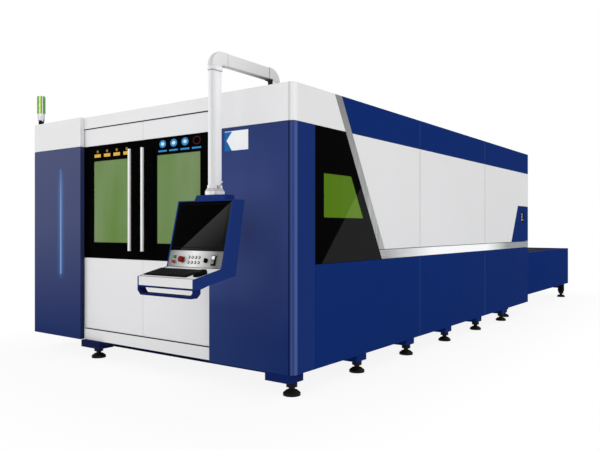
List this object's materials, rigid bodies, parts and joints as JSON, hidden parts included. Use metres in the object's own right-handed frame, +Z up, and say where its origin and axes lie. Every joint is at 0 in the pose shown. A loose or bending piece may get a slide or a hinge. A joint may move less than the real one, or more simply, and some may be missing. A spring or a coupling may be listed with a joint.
{
  "type": "enclosed fiber laser cutting machine",
  "caption": "Enclosed sheet-metal laser cutter with sliding front doors, swing-arm operator console, internal gantry and a shuttle table with slatted pallets at the rear.",
  "frame": {"origin": "on the floor under the middle of the bounding box", "axes": "+X is the operator's right seen from the doors, +Y runs from the doors to the shuttle table, +Z is up"},
  "size_m": [3.06, 8.51, 2.378],
  "materials": {
    "blue_paint": "satin enamel",
    "white_paint": "satin enamel",
    "silver_trim": "satin",
    "black_glass": "polished back-painted sheet",
    "green_glass": "tinted, see-through",
    "grey_frame": "satin enamel",
    "black_steel": "matt black",
    "bright_steel": "ground",
    "slat_steel": "plain sheet, flame-cut",
    "chrome_handle": "polished",
    "head_metal": "anodised",
    "black_plastic": "fine grain",
    "white_plastic": "fine grain",
    "red_plastic": "glossy",
    "green_plastic": "glossy",
    "light_bar": "glowing",
    "lamp_plastic": "tinted, see-through look",
    "panel_metal": "brushed"
  },
  "bodies": {
    "cabin": {"bed_frame": "blue_paint", "levelling_feet": "black_steel", "room_frame": "grey_frame", "left_cabinet": "blue_paint", "light_strip": "light_bar", "left_cap": "white_paint", "right_cabinet": "blue_paint", "corner_cap": "white_paint", "front_fascia": "white_paint", "door_sill": "white_paint", "side_glass": "black_glass", "side_window": "green_glass", "side_trim": "silver_trim", "blue_band": "blue_paint", "upper_side_panels": "white_paint", "tail_panel": "blue_paint", "rear_station": "black_plastic", "lower_side_panels": "blue_paint", "left_side_panels": "white_paint", "roof_panels": "white_paint", "rear_wall": "white_paint", "bed_rails": "bright_steel", "bed_racks": "bright_steel", "table_frame": "blue_paint", "arm_base": "black_steel", "signal_tower": "silver_trim", "tower_lamp": "lamp_plastic"},
    "left_door": {"left_door": "white_paint", "left_door_glass": "black_glass", "left_door_window": "green_glass", "left_door_handle": "chrome_handle"},
    "right_door": {"right_door": "white_paint", "right_door_glass": "black_glass", "right_door_window": "green_glass", "right_door_handle": "chrome_handle"},
    "rear_gate": {"rear_gate": "white_paint"},
    "gantry": {"gantry_beam": "head_metal"},
    "carriage": {"head_carriage": "head_metal"},
    "head": {"head_slide": "head_metal", "cutting_head": "head_metal"},
    "upper_pallet": {"upper_pallet": "grey_frame", "upper_slats": "slat_steel"},
    "lower_pallet": {"lower_pallet": "grey_frame", "lower_slats": "slat_steel"},
    "arm": {"support_arm": "white_paint"},
    "clamp_lever": {"clamp_lever": "black_plastic"},
    "console": {"console_housing": "blue_paint", "keyboard_tray": "white_paint", "console_screen": "black_glass", "control_panel": "panel_metal", "panel_buttons": "white_plastic", "keyboard": "black_plastic", "mouse": "black_plastic", "console_handle": "silver_trim"},
    "estop_button": {"estop_button": "red_plastic"},
    "start_button": {"start_button": "green_plastic"},
    "stop_button": {"stop_button": "red_plastic"},
    "selector_knob": {"selector_knob": "black_plastic"},
    "port_cover": {"port_cover": "black_plastic"},
    "rear_stop_button": {"rear_stop_button": "red_plastic"}
  },
  "joints": [
    {"name": "left_door_slide", "type": "slide", "parent": "cabin", "child": "left_door", "axis": [-1, 0, 0], "range_m": [0, 0.62]},
    {"name": "right_door_slide", "type": "slide", "parent": "cabin", "child": "right_door", "axis": [1, 0, 0], "range_m": [0, 0.62]},
    {"name": "rear_gate_lift", "type": "slide", "parent": "cabin", "child": "rear_gate", "axis": [0, 0, 1], "range_m": [0, 0.57]},
    {"name": "gantry_travel", "type": "slide", "parent": "cabin", "child": "gantry", "axis": [0, 1, 0], "range_m": [0, 2.9]},
    {"name": "carriage_travel", "type": "slide", "parent": "gantry", "child": "carriage", "axis": [1, 0, 0], "range_m": [-0.75, 0.75]},
    {"name": "head_lift", "type": "slide", "parent": "carriage", "child": "head", "axis": [0, 0, 1], "range_m": [-0.12, 0]},
    {"name": "upper_pallet_travel", "type": "slide", "parent": "cabin", "child": "upper_pallet", "axis": [0, 1, 0], "range_m": [-3.5, 0]},
    {"name": "lower_pallet_travel", "type": "slide", "parent": "cabin", "child": "lower_pallet", "axis": [0, 1, 0], "range_m": [0, 3.5]},
    {"name": "arm_swing", "type": "hinge", "parent": "cabin", "child": "arm", "pos_m": [1.1, -3.217, 2.1423], "axis": [0, 0, 1], "range_deg": [-20, 20]},
    {"name": "console_swivel", "type": "hinge", "parent": "arm", "child": "console", "pos_m": [1.1, -3.845, 1.345], "axis": [0, 0, 1], "range_deg": [-25, 25]},
    {"name": "clamp_lever_turn", "type": "hinge", "parent": "arm", "child": "clamp_lever", "pos_m": [1.1273, -3.845, 1.401], "axis": [1, 0, 0], "range_deg": [0, 90]},
    {"name": "estop_button_press", "type": "slide", "parent": "console", "child": "estop_button", "axis": [0, 0.9715, -0.2368], "range_m": [0, 0.004], "stiffness_N_per_m": 400},
    {"name": "start_button_press", "type": "slide", "parent": "console", "child": "start_button", "axis": [0, 0.9715, -0.2368], "range_m": [0, 0.004], "stiffness_N_per_m": 300},
    {"name": "stop_button_press", "type": "slide", "parent": "console", "child": "stop_button", "axis": [0, 0.9715, -0.2368], "range_m": [0, 0.004], "stiffness_N_per_m": 300},
    {"name": "selector_turn", "type": "hinge", "parent": "console", "child": "selector_knob", "pos_m": [1.1745, -4.00132, 0.919], "axis": [0, -0.9715, 0.2368], "range_deg": [-45, 45]},
    {"name": "port_cover_hinge", "type": "hinge", "parent": "console", "child": "port_cover", "pos_m": [1.2415, -3.99332, 0.95307], "axis": [-1, 0, 0], "range_deg": [0, 90]},
    {"name": "rear_stop_button_press", "type": "slide", "parent": "cabin", "child": "rear_stop_button", "axis": [-1, 0, 0], "range_m": [0, 0.004], "stiffness_N_per_m": 300}
  ]
}
